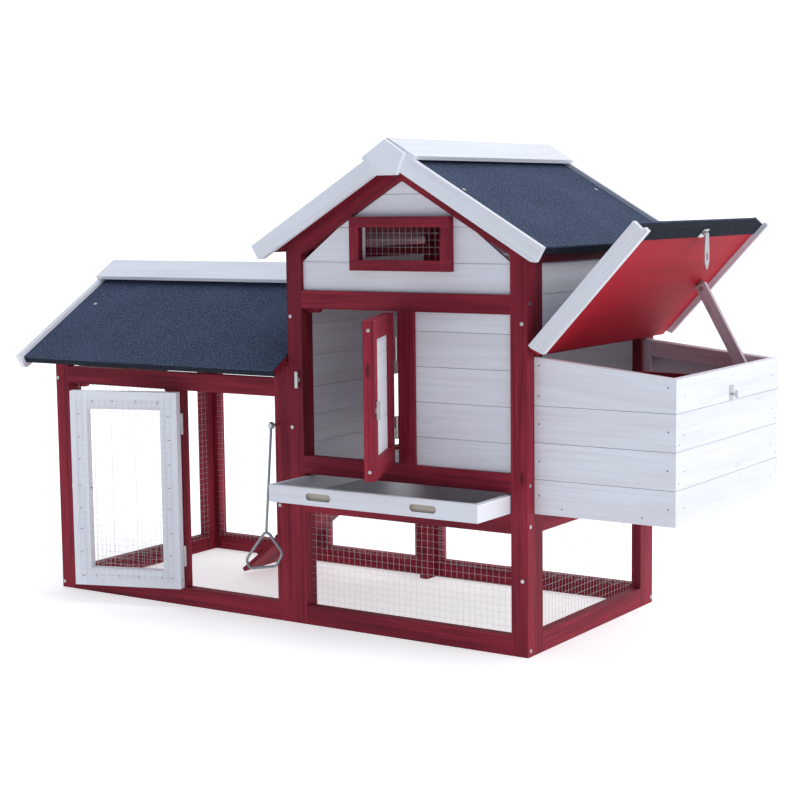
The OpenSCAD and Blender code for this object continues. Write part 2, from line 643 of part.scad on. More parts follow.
ramp_rise = atan((sill_rail_z - 4) / -ramp_foot);
ramp_y0 = (pop_y0 + pop_y1) / 2 - ramp_w / 2 - 4;
module on_ramp() translate([ramp_foot, 0, 0]) rotate([0, -ramp_rise, 0]) children();
module ramp_board() coop(red) on_ramp()
    bar([ramp_t, ramp_y0, 0], [(ramp_end - ramp_foot) / cos(ramp_rise), ramp_y0 + ramp_w, ramp_t]);
module ramp_cleats() coop(red) on_ramp() for (i = [0 : 5])
    bar([60 + i * 66, ramp_y0 + 8, ramp_t + 0.05], [70 + i * 66, ramp_y0 + ramp_w - 8, ramp_t + 8]);

// Sliding door of the pop hole, which runs between two grooved battens on the run's side
module pop_door_guides() coop(red) for (z = [[sill_rail_z - 22, sill_rail_z - 2], [pop_top + 2, pop_top + 22]]) {
    bar([-18, 22, z[0]], [0, depth - 22, z[1]]);
    lip = z[0] < sill_rail_z ? [z[1] + joint, z[1] + 6] : [z[0] - 6, z[0] - joint];
    for (x = [[-18, -14.8], [-4.2, 0]]) bar([x[0], 22, lip[0]], [x[1], depth - 22, lip[1]]);
}
module pop_door() coop(white)
    bar([-14, 130, sill_rail_z - 1], [-5, 130 + 172, pop_top + 1]);

// Pull rod with a three-cornered handle, hung from a peg on the run's right-hand stile
rod_r = 2.8;
rod_y = -24;
rod_eye = [-25, 395];
rod_neck = [-43, 186];
handle = [rod_neck, [-96, 120], [-87, 103], [-21, 115], [-3, 143]];

// A straight length of rod from a to b, mitred where it meets the lengths to p and to q
module rod_leg(p, a, b, q) {
    d = b - a;
    len = norm(d);
    turn = atan2(d[1], d[0]);
    at_a = p == a ? 0 : -bend(a - p, d) / 2;
    at_b = q == b ? 0 : bend(d, q - b) / 2;
    translate([a[0], rod_y, a[1]]) rotate([0, -turn, 0]) difference() {
        translate([-6, 0, 0]) rotate([0, 90, 0]) cylinder(r = rod_r, h = len + 12);
        rotate([0, -at_a, 0]) translate([-29.95, -10, -10]) cube([30, 20, 20]);
        translate([len, 0, 0]) rotate([0, -at_b, 0]) translate([-0.05, -10, -10]) cube([30, 20, 20]);
    }
}
// Tilt of the mitre face between two lengths, against the one that is being cut
function bend(u, v) = let (t = atan2(v[1], v[0]) - atan2(u[1], u[0])) t > 180 ? t - 360 : t < -180 ? t + 360 : t;
module pull_rod() coop(steel) {
    translate([rod_eye[0], rod_y + 2.5, rod_eye[1]]) rotate([90, 0, 0]) difference() {
        cylinder(r = 7, h = 5);
        translate([0, 0, -1]) cylinder(r = 3.05, h = 7);
    }
    shank = rod_eye + 7.2 * (rod_neck - rod_eye) / norm(rod_neck - rod_eye);
    rod_leg(shank, shank, rod_neck + [0.9, 9.5], rod_neck + [0.9, 9.5]);
    for (i = [0 : 4])
        rod_leg(handle[(i + 4) % 5], handle[i], handle[(i + 1) % 5], handle[(i + 2) % 5]);
}

// ---------- fasteners ----------

module screws_and_caps() coop(steel) {
    for (z = [141, 608]) head_front(house_w - 11, z);
    for (z = [391, 608]) head_front(8, z);
    head_front(-26, 233);
    for (z = [13, 459]) head_front(-run_l + 6, z);
    for (z = [12, 241, 316, 644]) head_right(8, z);
    head_right(depth - 8, 12);
    // Hook that the pull rod hangs from
    translate([rod_eye[0], 0, rod_eye[1]]) rotate([90, 0, 0]) cylinder(r = 3, h = 28);
    translate([rod_eye[0], -28.05, rod_eye[1]]) rotate([90, 0, 0]) cylinder(r = 5, h = 2);
    // Plate that the hasp's staple turns in
    difference() {
        bar([nest_x1, strap_y - 9, staple_z - 10], [nest_x1 + 1.2, strap_y + 9, staple_z + 15]);
        translate([nest_x1 - 1, strap_y, staple_z]) rotate([0, 90, 0]) cylinder(r = 2.45, h = 4);
    }
    // Caps of the roof screws
    for (side = [-1, 1]) for (y = [6, depth + 4])
        translate([half_w + side * 134, y, house_under(half_w + 134) + roof_t / cos(pitch) + 0.1])
            rotate([0, side * pitch, 0]) cylinder(r = 4, h = 2);
    for (side = [-1, 1]) for (x = [-run_l - 4, -60])
        translate([x, run_half + side * 127, run_under(run_half + 127) + roof_t / cos(pitch)])
            rotate([-side * pitch, 0, 0]) cylinder(r = 4, h = 2);
}

run_front_frame();
run_end_frame();
run_back_frame();
run_meshes();
run_roof_decks();
run_roof_felts();
run_bargeboards();
run_ridge_cap();
run_door_frame();
run_door_mesh();
run_door_leaves();
run_door_button();
house_front_frame();
house_back_frame();
house_left_frame();
house_right_frame();
front_panel_boards();
front_gable_boards();
back_wall_boards();
left_wall_boards();
right_wall_boards();
window_frame();
window_mesh();
house_meshes();
corner_blocks();
tray_runners();
house_roof_decks();
house_roof_felts();
house_bargeboards();
house_ridge_cap();
finials();
house_door_frame();
house_door_boards();
house_door_leaves();
house_door_catch();
house_door_button();
fixed_hinge_leaves();
hinge_pins();
tray_frame();
tray_sheet();
nest_near_boards();
nest_far_boards();
nest_end_boards();
nest_floor();
nest_divider();
nest_cleats();
lid_deck();
lid_felt();
lid_bargeboards();
lid_leaves();
lid_prop();
lid_fittings();
hasp_strap();
hasp_staple();
ramp_board();
ramp_cleats();
pop_door();
pop_door_guides();
pull_rod();
screws_and_caps();
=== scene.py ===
"""Wooden chicken coop: materials, timber with rounded edges and grain, welded wire, fittings, studio."""

import json
import math
import random

import bmesh
import bpy
import numpy as np
from mathutils import Matrix, Vector


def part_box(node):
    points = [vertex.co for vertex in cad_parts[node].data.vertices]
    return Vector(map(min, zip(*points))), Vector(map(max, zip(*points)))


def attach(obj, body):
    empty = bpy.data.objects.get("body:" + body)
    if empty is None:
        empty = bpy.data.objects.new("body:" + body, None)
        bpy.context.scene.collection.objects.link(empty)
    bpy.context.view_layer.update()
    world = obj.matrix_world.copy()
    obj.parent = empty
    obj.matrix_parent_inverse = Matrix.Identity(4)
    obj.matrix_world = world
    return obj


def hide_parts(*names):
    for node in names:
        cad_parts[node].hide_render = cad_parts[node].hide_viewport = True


MM = 0.001
BLOCK_EASE, BOARD_EASE, TRIM_EASE, DECK_EASE, FELT_EASE = 0.8, 1.3, 1.0, 0.5, 0.7
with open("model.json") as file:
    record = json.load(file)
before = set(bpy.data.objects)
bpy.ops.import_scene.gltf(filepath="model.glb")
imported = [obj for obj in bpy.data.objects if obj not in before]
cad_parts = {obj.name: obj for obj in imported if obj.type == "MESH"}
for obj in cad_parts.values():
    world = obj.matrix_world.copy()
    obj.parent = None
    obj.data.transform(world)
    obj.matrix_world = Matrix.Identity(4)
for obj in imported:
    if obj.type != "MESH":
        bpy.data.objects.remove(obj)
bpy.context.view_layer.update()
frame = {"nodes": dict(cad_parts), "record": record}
NODES = frame["nodes"]
random.seed(7)
BODY = {n: b for b, names in frame["record"]["behaviour"]["bodies"].items() for n in names}
JOINTS = {j["name"]: j for j in frame["record"]["behaviour"]["joints"]}

# The coop's working axes, in millimetres, have x = 0 at the house's left wall and y = 0 at its front.
house_low, house_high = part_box("house_front_frame")
ORIGIN = Vector((house_low[0], house_low[1], 0))
HOUSE_W = (house_high[0] - house_low[0]) / MM
DEPTH = (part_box("house_back_frame")[1][1] - house_low[1]) / MM


def at(x, y, z):
    """A point of the working axes, in the row frame."""
    return ORIGIN + Vector((x, y, z)) * MM


# ---------- materials ----------


def srgb(r, g, b):
    """Linear colour of an 8-bit sRGB one."""
    def lin(c):
        c /= 255
        return c / 12.92 if c <= 0.04045 else ((c + 0.055) / 1.055) ** 2.4
    return (lin(r), lin(g), lin(b), 1)


class Shader:
    """A small helper for building a node material."""

    def __init__(self, name):
        self.mat = bpy.data.materials.new(name)
        self.mat.use_nodes = True
        self.tree = self.mat.node_tree
        self.bsdf = self.tree.nodes["Principled BSDF"]

    def add(self, kind, **inputs):
        node = self.tree.nodes.new(kind)
        for key, value in inputs.items():
            self.put(node.inputs[key.replace("_", " ")], value)
        return node

    def put(self, socket, value):
        if isinstance(value, bpy.types.NodeSocket):
            self.tree.links.new(value, socket)
        else:
            socket.default_value = value

    def math(self, op, a, b):
        node = self.tree.nodes.new("ShaderNodeMath")
        node.operation = op
        self.put(node.inputs[0], a)
        self.put(node.inputs[1], b)
        return node.outputs[0]

    def mix(self, factor, a, b, blend="MIX"):
        node = self.tree.nodes.new("ShaderNodeMix")
        node.data_type = "RGBA"
        node.blend_type = blend
        self.put(node.inputs[0], factor)
        self.put(node.inputs[6], a)
        self.put(node.inputs[7], b)
        return node.outputs[2]

    def ramp(self, value, low, high):
        node = self.tree.nodes.new("ShaderNodeMapRange")
        node.interpolation_type = "SMOOTHSTEP"
        self.put(node.inputs[0], value)
        node.inputs[1].default_value = low
        node.inputs[2].default_value = high
        return node.outputs[0]

    def stretched(self, name, scale):
        """The attribute's vector, scaled along each of its axes."""
        source = self.tree.nodes.new("ShaderNodeAttribute")
        source.attribute_name = name
        node = self.tree.nodes.new("ShaderNodeVectorMath")
        node.operation = "MULTIPLY"
        self.put(node.inputs[0], source.outputs["Vector"])
        node.inputs[1].default_value = scale
        return node.outputs[0]

    def attribute(self, name):
        source = self.tree.nodes.new("ShaderNodeAttribute")
        source.attribute_name = name
        return source.outputs["Fac"]

    def bump(self, height, distance, strength=1.0):
        node = self.tree.nodes.new("ShaderNodeBump")
        self.put(node.inputs["Height"], height)
        node.inputs["Distance"].default_value = distance
        node.inputs["Strength"].default_value = strength
        self.put(self.bsdf.inputs["Normal"], node.outputs[0])


def wood(name, base, dark, streaks, depth, roughness, knots=0.0, knot_colour=None):
    """Timber whose grain runs along the first axis of the mesh attribute called grain."""
    s = Shader(name)
    grain = s.add("ShaderNodeTexNoise", Vector=s.stretched("grain", (5, 160, 160)), Scale=1.0, Detail=5.0,
                  Roughness=0.6)
    broad = s.add("ShaderNodeTexNoise", Vector=s.stretched("grain", (2.2, 26, 26)), Scale=1.0, Detail=3.0)
    streak = s.ramp(grain.outputs["Fac"], 0.42, 0.7)
    patch = s.ramp(broad.outputs["Fac"], 0.35, 0.7)
    colour = s.mix(s.math("MULTIPLY", streak, streaks), base, dark)
    colour = s.mix(s.math("MULTIPLY", patch, streaks * 0.9), colour, dark)
    if knots:
        cell = s.add("ShaderNodeTexVoronoi", Vector=s.stretched("grain", (6, 22, 22)), Scale=1.0)
        knot = s.ramp(cell.outputs["Distance"], 0.13, 0.03)
        colour = s.mix(s.math("MULTIPLY", knot, knots), colour, knot_colour)
    tone = s.attribute("tone")
    colour = s.mix(s.math("MULTIPLY", tone, 0.5), colour, dark)
    s.put(s.bsdf.inputs["Base Color"], colour)
    s.bsdf.inputs["Roughness"].default_value = roughness
    s.bsdf.inputs["Specular IOR Level"].default_value = 0.18
    s.bump(grain.outputs["Fac"], depth)
    return s.mat


def felt(name, light, dark):
    """Mineral-surfaced roofing felt: fine grit with a few pale grains."""
    s = Shader(name)
    place = s.add("ShaderNodeTexCoord").outputs["Object"]
    grit = s.add("ShaderNodeTexNoise", Vector=place, Scale=420.0, Detail=2.0)
    cloud = s.add("ShaderNodeTexNoise", Vector=place, Scale=9.0, Detail=4.0)
    pale = s.add("ShaderNodeTexVoronoi", Vector=place, Scale=210.0)
    colour = s.mix(s.ramp(grit.outputs["Fac"], 0.35, 0.68), dark, light)
    colour = s.mix(s.math("MULTIPLY", s.ramp(cloud.outputs["Fac"], 0.4, 0.75), 0.25), colour, light)
    colour = s.mix(s.math("MULTIPLY", s.ramp(pale.outputs["Distance"], 0.2, 0.08), 0.3), colour,
                   srgb(112, 124, 148))
    s.put(s.bsdf.inputs["Base Color"], colour)
    s.bsdf.inputs["Roughness"].default_value = 0.95
    s.bsdf.inputs["Specular IOR Level"].default_value = 0.15
    s.bump(grit.outputs["Fac"], 0.0006)
    return s.mat


def metal(name, colour, roughness, metallic=1.0, mottle=0.15):
    s = Shader(name)
    place = s.add("ShaderNodeTexCoord").outputs["Object"]
    patch = s.add("ShaderNodeTexNoise", Vector=place, Scale=130.0, Detail=3.0)
    dull = [c * (1 - mottle) for c in colour[:3]] + [1]
    s.put(s.bsdf.inputs["Base Color"], s.mix(patch.outputs["Fac"], colour, dull))
    s.bsdf.inputs["Roughness"].default_value = roughness
    s.bsdf.inputs["Metallic"].default_value = metallic
    return s.mat


def plain(name, colour, roughness, emission=0.0):
    s = Shader(name)
    s.bsdf.inputs["Base Color"].default_value = colour
    s.bsdf.inputs["Roughness"].default_value = roughness
    s.bsdf.inputs["Emission Color"].default_value = (1, 1, 1, 1)
    s.bsdf.inputs["Emission Strength"].default_value = emission
    return s.mat


RED = wood("red stained timber", srgb(156, 42, 60), srgb(90, 20, 34), 0.7, 0.0004, 0.62, 0.8, srgb(60, 18, 24))
RED_LINING = wood("red lining board", srgb(184, 32, 50), srgb(142, 24, 40), 0.35, 0.0002, 0.65)
WHITE = wood("white painted timber", srgb(236, 238, 246), srgb(216, 214, 218), 0.4, 0.00025, 0.55, 0.25,
             srgb(205, 196, 190))
# White paint tinted pink: painted red light bounced from the lid's red underside onto the parts beneath it.
WHITE_PAINTED_RED_BOUNCE = wood("white timber painted red bounce", srgb(222, 206, 214), srgb(188, 168, 178), 0.6, 0.0003, 0.6, 0.4,
            srgb(168, 140, 140))
FELT = felt("roofing felt", srgb(84, 96, 122), srgb(42, 50, 68))
# The same felt darkened: painted shade for where it folds down over an edge.
FELT_FOLD_SHADE_PAINTED = felt("felt fold painted shade", srgb(44, 50, 62), srgb(22, 26, 34))
ZINC = metal("zinc plated steel", (0.62, 0.62, 0.62, 1), 0.38)
# Dark steel of the nails, staples and bolt end, also used as painted shade in the screw slots and the plate's
# holes.
DARK_STEEL_AND_HOLE_SHADE = metal("dark steel and painted hole shade", (0.2, 0.2, 0.21, 1), 0.45)
WIRE = metal("galvanised wire", (0.66, 0.67, 0.69, 1), 0.5, 0.15)
SHEET = metal("galvanised sheet", (0.52, 0.54, 0.57, 1), 0.42, 0.9, 0.3)
ROD = metal("pull rod steel", (0.3, 0.32, 0.35, 1), 0.42, 0.7)
RECESS = wood("bare hand hold", srgb(204, 197, 188), srgb(176, 166, 152), 0.5, 0.0003, 0.7)


# ---------- mesh helpers ----------


def publish(name, bm, material, node, replaces=(), smooth=False):
    """Makes an object of a mesh and lets it ride on the body that the CAD node is on."""
    mesh = bpy.data.meshes.new(name)
    bm.to_mesh(mesh)
    bm.free()
    for item in material if isinstance(material, (list, tuple)) else [material]:
        mesh.materials.append(item)
    for face in mesh.polygons:
        face.use_smooth = smooth
    piece = bpy.data.objects.new(name, mesh)
    bpy.context.collection.objects.link(piece)
    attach(piece, BODY[node])
    if replaces:
        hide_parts(*replaces)
    return piece


def islands(node):
    """The CAD node's separate solids, each as a mesh with flat faces made whole again."""
    whole = bmesh.new()
    whole.from_mesh(NODES[node].data)
    bmesh.ops.remove_doubles(whole, verts=whole.verts, dist=1e-6)
    bmesh.ops.dissolve_limit(whole, angle_limit=math.radians(0.5), verts=whole.verts, edges=whole.edges)
    left = set(whole.verts)
    groups = []
    while left:
        seed = next(iter(left))
        group, stack = {seed}, [seed]
        while stack:
            for edge in stack.pop().link_edges:
                for vert in edge.verts:
                    if vert not in group:
                        group.add(vert)
                        stack.append(vert)
        left -= group
        groups.append(group)
    groups.sort(key=lambda g: tuple(round(c, 5) for c in min((v.co[:] for v in g))))
    for group in groups:
        solid = bmesh.new()
        new = {v: solid.verts.new(v.co) for v in sorted(group, key=lambda v: v.index)}
        for face in whole.faces:
            if face.verts[0] in group:
                solid.faces.new([new[v] for v in face.verts])
        yield solid
    whole.free()


def lay_grain(bm):
    """Writes each vertex's place along and across the timber, and a tone for the whole piece."""
    longest = max(bm.edges, key=lambda e: e.calc_length())
    along = (longest.verts[1].co - longest.verts[0].co).normalized()
    across = along.orthogonal().normalized()
    third = along.cross(across)
    shift = Vector([random.uniform(0, 20) for _ in range(3)])
    tone = random.uniform(0, 0.35)
    grain = bm.verts.layers.float_vector.new("grain")
    tones = bm.verts.layers.float.new("tone")
    for vert in bm.verts:
        vert[grain] = Vector((vert.co.dot(along), vert.co.dot(across), vert.co.dot(third))) + shift
        vert[tones] = tone


def round_edges(bm, width, angle=25):
    sharp = [e for e in bm.edges if len(e.link_faces) == 2 and e.calc_face_angle(0) > math.radians(angle)]
    bmesh.ops.bevel(bm, geom=sharp, offset=width, segments=2, affect="EDGES", profile=0.6, clamp_overlap=True)


def merge(parts):
    """One mesh of several, with their attributes."""
    whole = bmesh.new()
    for part in parts:
        mesh = bpy.data.meshes.new("part")
        part.to_mesh(mesh)
        part.free()
        whole.from_mesh(mesh)
        bpy.data.meshes.remove(mesh)
    return whole


def timber(node, material, edge):
    """Replaces a CAD node by its boards with eased edges and grain along each board."""
    parts = []
    for solid in islands(node):
        round_edges(solid, edge * MM)
        lay_grain(solid)
        parts.append(solid)
    publish(node + "_timber", merge(parts), material, node, [node])


def ease(node, material, width=0.3):
    """Keeps a CAD node, with a material and rounded edges."""
    piece = NODES[node]
    piece.data.materials.clear()
    piece.data.materials.append(material)
    modifier = piece.modifiers.new("edges", "BEVEL")
    modifier.width = width * MM
    modifier.segments = 2
    modifier.limit_method = "ANGLE"
    modifier.angle_limit = math.radians(35)


def tube(points, radius, sides=10, closed=False):
    """A round bar through the points, with mitred corners."""
    bm = bmesh.new()
    rings = []
    count = len(points)
    normal = None
    for i, point in enumerate(points):
        before = points[i - 1] if i or closed else point
        after = points[(i + 1) % count] if i + 1 < count or closed else point
        a = (point - before).normalized() if point != before else (after - point).normalized()
        b = (after - point).normalized() if point != after else a
        heading = (a + b).normalized()
        if normal is None:
            normal = heading.orthogonal().normalized()
        normal = (normal - heading * normal.dot(heading)).normalized()
        side = heading.cross(normal)
        rings.append([bm.verts.new(point + radius * (normal * math.cos(t) + side * math.sin(t)))
                      for t in [2 * math.pi * k / sides for k in range(sides)]])
    for i in range(count if closed else count - 1):
        one, two = rings[i], rings[(i + 1) % count]
        for k in range(sides):
            bm.faces.new((one[k], one[(k + 1) % sides], two[(k + 1) % sides], two[k]))
    if not closed:
        bm.faces.new(list(reversed(rings[0])))
        bm.faces.new(rings[-1])
    return bm


def arc(centre, a, b, radius, start, end, steps):
    """Points on a circle in the plane of the unit vectors a and b."""
    return [centre + radius * (a * math.cos(t) + b * math.sin(t))
            for t in np.linspace(math.radians(start), math.radians(end), steps)]


def rounded(points, radius, steps):
    """The closed polygon through the points with its corners turned into arcs."""
    out = []
    count = len(points)
    for i, point in enumerate(points):
        before, after = points[i - 1], points[(i + 1) % count]
        a = (before - point).normalized()
        b = (after - point).normalized()
        half = a.angle(b) / 2
        reach = min(radius / math.tan(half), 0.45 * (before - point).length, 0.45 * (after - point).length)
        for t in np.linspace(0, 1, steps):
            out.append(point + a * reach * (1 - t) ** 2 + b * reach * t ** 2)
    return out


# ---------- timber ----------

for node in ("run_front_frame run_end_frame run_back_frame house_front_frame house_back_frame house_left_frame "
             "house_right_frame window_frame corner_blocks tray_runners house_door_frame nest_divider "
             "ramp_board ramp_cleats pop_door_guides").split():
    timber(node, RED, BLOCK_EASE)
for node in ("front_panel_boards front_gable_boards back_wall_boards left_wall_boards right_wall_boards "
             "house_door_boards nest_near_boards nest_far_boards nest_end_boards pop_door").split():
    timber(node, WHITE, BOARD_EASE)
for node in ("run_bargeboards run_ridge_cap run_door_frame house_bargeboards house_ridge_cap finials "
             "lid_bargeboards").split():
    timber(node, WHITE, TRIM_EASE)
# The nest's cleats and floor and the lid's prop are white, with painted red bounce light from the lid.
for node in ("nest_cleats", "nest_floor", "lid_prop"):
    timber(node, WHITE_PAINTED_RED_BOUNCE, BLOCK_EASE)
for node in ("run_roof_decks", "house_roof_decks"):
    timber(node, RED, DECK_EASE)
timber("lid_deck", RED_LINING, DECK_EASE)

# The tray's hand holds are cut into its front board and left bare
FRONT_BOARD_LEAST = 0.3
HOLD_SHALLOW, HOLD_DEEP, HOLD_EDGE, HOLD_END = 1.2 * MM, 9 * MM, 4 * MM, 20 * MM
tray_parts = []
tray_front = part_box("tray_frame")[0][1]
for solid in islands("tray_frame"):
    low_z, high_z = (f(v.co.z for v in solid.verts) for f in (min, max))
    low_x, high_x = (f(v.co.x for v in solid.verts) for f in (min, max))
    is_front = min(v.co.y for v in solid.verts) < tray_front + MM and high_x - low_x > FRONT_BOARD_LEAST
    round_edges(solid, TRIM_EASE * MM)
    lay_grain(solid)
    for face in solid.faces:
        c = face.calc_center_median()
        inside = (tray_front + HOLD_SHALLOW < c.y < tray_front + HOLD_DEEP
                  and low_z + HOLD_EDGE < c.z < high_z - HOLD_EDGE
                  and low_x + HOLD_END < c.x < high_x - HOLD_END)
        face.material_index = int(is_front and inside)
    tray_parts.append(solid)
publish("tray_frame_timber", merge(tray_parts), [WHITE, RECESS], "tray_frame", ["tray_frame"])

# ---------- felt ----------

FOLD_WIDTH = 60


def felt_sheets(node):
    """The felt on the slopes, and painted shade where it is folded down over an edge: the same felt, darker."""
    parts = []
    for solid in islands(node):
        lengths = sorted({round(e.calc_length() / MM) for e in solid.edges}, reverse=True)
        fold = len(lengths) < 2 or lengths[1] < FOLD_WIDTH
        round_edges(solid, FELT_EASE * MM)
        lay_grain(solid)
        for face in solid.faces:
            face.material_index = int(fold)
        parts.append(solid)
    publish(node + "_sheet", merge(parts), [FELT, FELT_FOLD_SHADE_PAINTED], node, [node])


for node in ("run_roof_felts", "house_roof_felts", "lid_felt"):
    felt_sheets(node)

# ---------- welded wire ----------

PITCH = 13.0
WIRE_R = 0.2
WIRE_SWAY = 0.4
CROSS_LIFT = 0.7
SHEET_MIDDLE = 0.3


def wire_panel(along, up, origin, width, height, normal, shape=None):
    """A sheet of welded wire, with each wire a little off true and the cross wires on one side."""
    bars = []
    columns, rows = int(width // PITCH), int(height // PITCH)
    x0 = (width - columns * PITCH) / 2
    z0 = (height - rows * PITCH) / 2

    def point(u, v, lift):
        return origin + (along * u + up * v) * MM + normal * lift * MM

    def span(fixed, vertical):
        if shape is None:
            return (0, height) if vertical else (0, width)
        return shape(fixed, vertical)

    for i in range(columns + 1):
        u = x0 + i * PITCH
        low, high = span(u, True)
        if high - low > PITCH:
            sway = random.uniform(-WIRE_SWAY, WIRE_SWAY)
            bars.append(tube([point(u, low, 0), point(u + sway, (low + high) / 2, 0.1), point(u, high, 0)],
                             WIRE_R * MM, 4))
    for i in range(rows + 1):
        v = z0 + i * PITCH
        low, high = span(v, False)
        if high - low > PITCH:
            sway = random.uniform(-WIRE_SWAY, WIRE_SWAY)
            bars.append(tube([point(low, v, CROSS_LIFT), point((low + high) / 2, v + sway, CROSS_LIFT + 0.1),
                              point(high, v, CROSS_LIFT)], WIRE_R * MM, 4))
    return merge(bars)


X, Y, Z = Vector((1, 0, 0)), Vector((0, 1, 0)), Vector((0, 0, 1))


def flat_panels(node):
    """Wire for each sheet of a mesh node, whichever way the sheet faces."""
    panels = []
    for solid in islands(node):
        places = [v.co.copy() for v in solid.verts]
        low = Vector([min(p[k] for p in places) for k in range(3)])
        high = Vector([max(p[k] for p in places) for k in range(3)])
        size = (high - low) / MM
        triangle = len(places) == 6
        solid.free()
        if size.x < size.y:
            shape = None
            if triangle:
                half = size.y / 2
                def shape(f, vertical, w=size.y, h=size.z):
                    if vertical:
                        return 0, h * (1 - abs(f - w / 2) / (w / 2))
                    inset = f / h * w / 2
                    return inset, w - inset
            panels.append(wire_panel(Y, Z, low + X * SHEET_MIDDLE * MM, size.y, size.z, X, shape))
        else:
            panels.append(wire_panel(X, Z, low + Y * SHEET_MIDDLE * MM, size.x, size.z, Y))
    publish(node + "_wires", merge(panels), WIRE, node, [node])


flat_panels("run_meshes")
flat_panels("house_meshes")
flat_panels("window_mesh")

# The run door stands open, so its sheet lies along the door's own width
door_joint = JOINTS["run_door_hinge"]
door_turn = math.radians(-door_joint["range_deg"][1])
door_along = Vector((math.cos(door_turn), math.sin(door_turn), 0))
door_inward = Vector((-math.sin(door_turn), math.cos(door_turn), 0))
door_pin = Vector(door_joint["pos_m"])


def on_run_door(x, y, z):
    """A point of the closed run door, from its hinge line, carried to where the door stands."""
    return Vector((door_pin.x, door_pin.y, 0)) + (door_along * x + door_inward * y + Z * z) * MM


flat_pin = Vector((door_pin.x, door_pin.y, 0))
sheet = NODES["run_door_mesh"].data.vertices
from_pin = [Vector((v.co.x, v.co.y, 0)) - flat_pin for v in sheet]
reach = [p.dot(door_along) / MM for p in from_pin]
rises = [p.dot(door_inward) / MM for p in from_pin]
tall = [v.co.z / MM for v in sheet]
sheet_corner = on_run_door(min(reach), min(rises) + SHEET_MIDDLE, min(tall))
publish("run_door_wires",
        wire_panel(door_along, Z, sheet_corner, max(reach) - min(reach), max(tall) - min(tall), door_inward),
        WIRE, "run_door_mesh", ["run_door_mesh"])

# ---------- metal ----------

for node in ("run_door_leaves house_door_leaves fixed_hinge_leaves hinge_pins lid_leaves lid_fittings "
             "hasp_strap hasp_staple house_door_catch house_door_button run_door_button screws_and_caps").split():
    ease(node, ZINC, 0.25)
ease("tray_sheet", SHEET, 0.2)

# The pull rod: an eye, a straight shank and a handle bent from one bar
rod_pin = Vector(JOINTS["pull_rod_swing"]["pos_m"])


def on_rod(x, z):
    return rod_pin + Vector((x, 0, z)) * MM


SHANK_R, HANDLE_R, HANDLE_BEND, EYE_R = 2.6, 2.8, 14, 5
neck = (-18, -209)
handle = rounded([on_rod(*p) for p in (neck, (-71, -275), (-62, -292), (4, -280), (22, -252))],
                 HANDLE_BEND * MM, 6)
eye = arc(rod_pin, X, Z, EYE_R * MM, -100, 215, 14)
shank = [on_rod(-1.6, -9), on_rod(-17.5, -200), on_rod(neck[0] - 0.6, neck[1] - 8)]
publish("pull_rod_bar", merge([tube(eye + shank, SHANK_R * MM, 12), tube(handle, HANDLE_R * MM, 12, True)]),
        ROD, "pull_rod", ["pull_rod"], smooth=True)


# ---------- nails and small screws ----------


def stud(centre, normal, radius, height, sides=10):
    """A low domed head standing on a face."""
    bm = bmesh.new()
    normal = normal.normalized()
    a = normal.orthogonal().normalized()
    b = normal.cross(a)
    rings = []
    for r, h in ((radius, 0), (radius * 0.92, height * 0.55), (radius * 0.55, height)):
        rings.append([bm.verts.new(centre + a * r * math.cos(t) + b * r * math.sin(t) + normal * h)
                      for t in [2 * math.pi * k / sides for k in range(sides)]])
    for one, two in zip(rings, rings[1:]):
        for k in range(sides):
            bm.faces.new((one[k], one[(k + 1) % sides], two[(k + 1) % sides], two[k]))
    bm.faces.new(rings[-1])
    bm.faces.new(list(reversed(rings[0])))
    return bm


def nails(name, node, places, normal, radius=1.7, material=None):
    publish(name, merge([stud(p - normal * 0.2 * MM, normal, radius * MM, 0.6 * MM) for p in places]),
            material or DARK_STEEL_AND_HOLE_SHADE, node, smooth=False)


def spans(node):
    """Low and high corners of each board of a node, in the working axes, from the lowest board up."""
    out = []
    for solid in islands(node):
        places = [(v.co - ORIGIN) / MM for v in solid.verts]
        out.append([[f(p[k] for p in places) for k in range(3)] for f in (min, max)])
        solid.free()
    return sorted(out, key=lambda s: (s[0][2], s[0][0]))


def astray(value, by=1.5):
    return value + random.uniform(-by, by)


# How far each nail stands in from the end or edge of its board
NAIL_RISE, END_BOARD_RISE, FLOOR_NAIL_RISE, CORNER_NAIL_RISE, TOP_BOARD_INSET = 33, 29, 13, 12, 16
WALL_NAIL, END_NAIL, CLEAT_NAIL, CORNER_NAIL, STUD_NAIL = 9, 15, 35, 14, 44
nest_low, nest_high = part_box("nest_near_boards")
near_y = (nest_low[1] - ORIGIN.y) / MM
far_y = DEPTH - near_y
wall_x, end_x = HOUSE_W, (nest_high[0] - ORIGIN.x) / MM


def side_nails(node, y, normal):
    """One nail a board at each end, two at the wall end of the top board, and two into the floor."""
    boards = spans(node)
    places = []
    for low, high in boards:
        rises = [low[2] + NAIL_RISE]
        if low is boards[-1][0]:
            rises = [low[2] + TOP_BOARD_INSET, high[2] - TOP_BOARD_INSET]
        places += [at(astray(wall_x + WALL_NAIL), y, astray(z)) for z in rises]
        places.append(at(astray(end_x - END_NAIL), y, astray((low[2] + high[2]) / 2)))
    places += [at(wall_x + (end_x - wall_x) * k, y, astray(boards[0][0][2] + FLOOR_NAIL_RISE))
               for k in (0.2, 0.77)]
    nails(node + "_nails", node, places, normal)


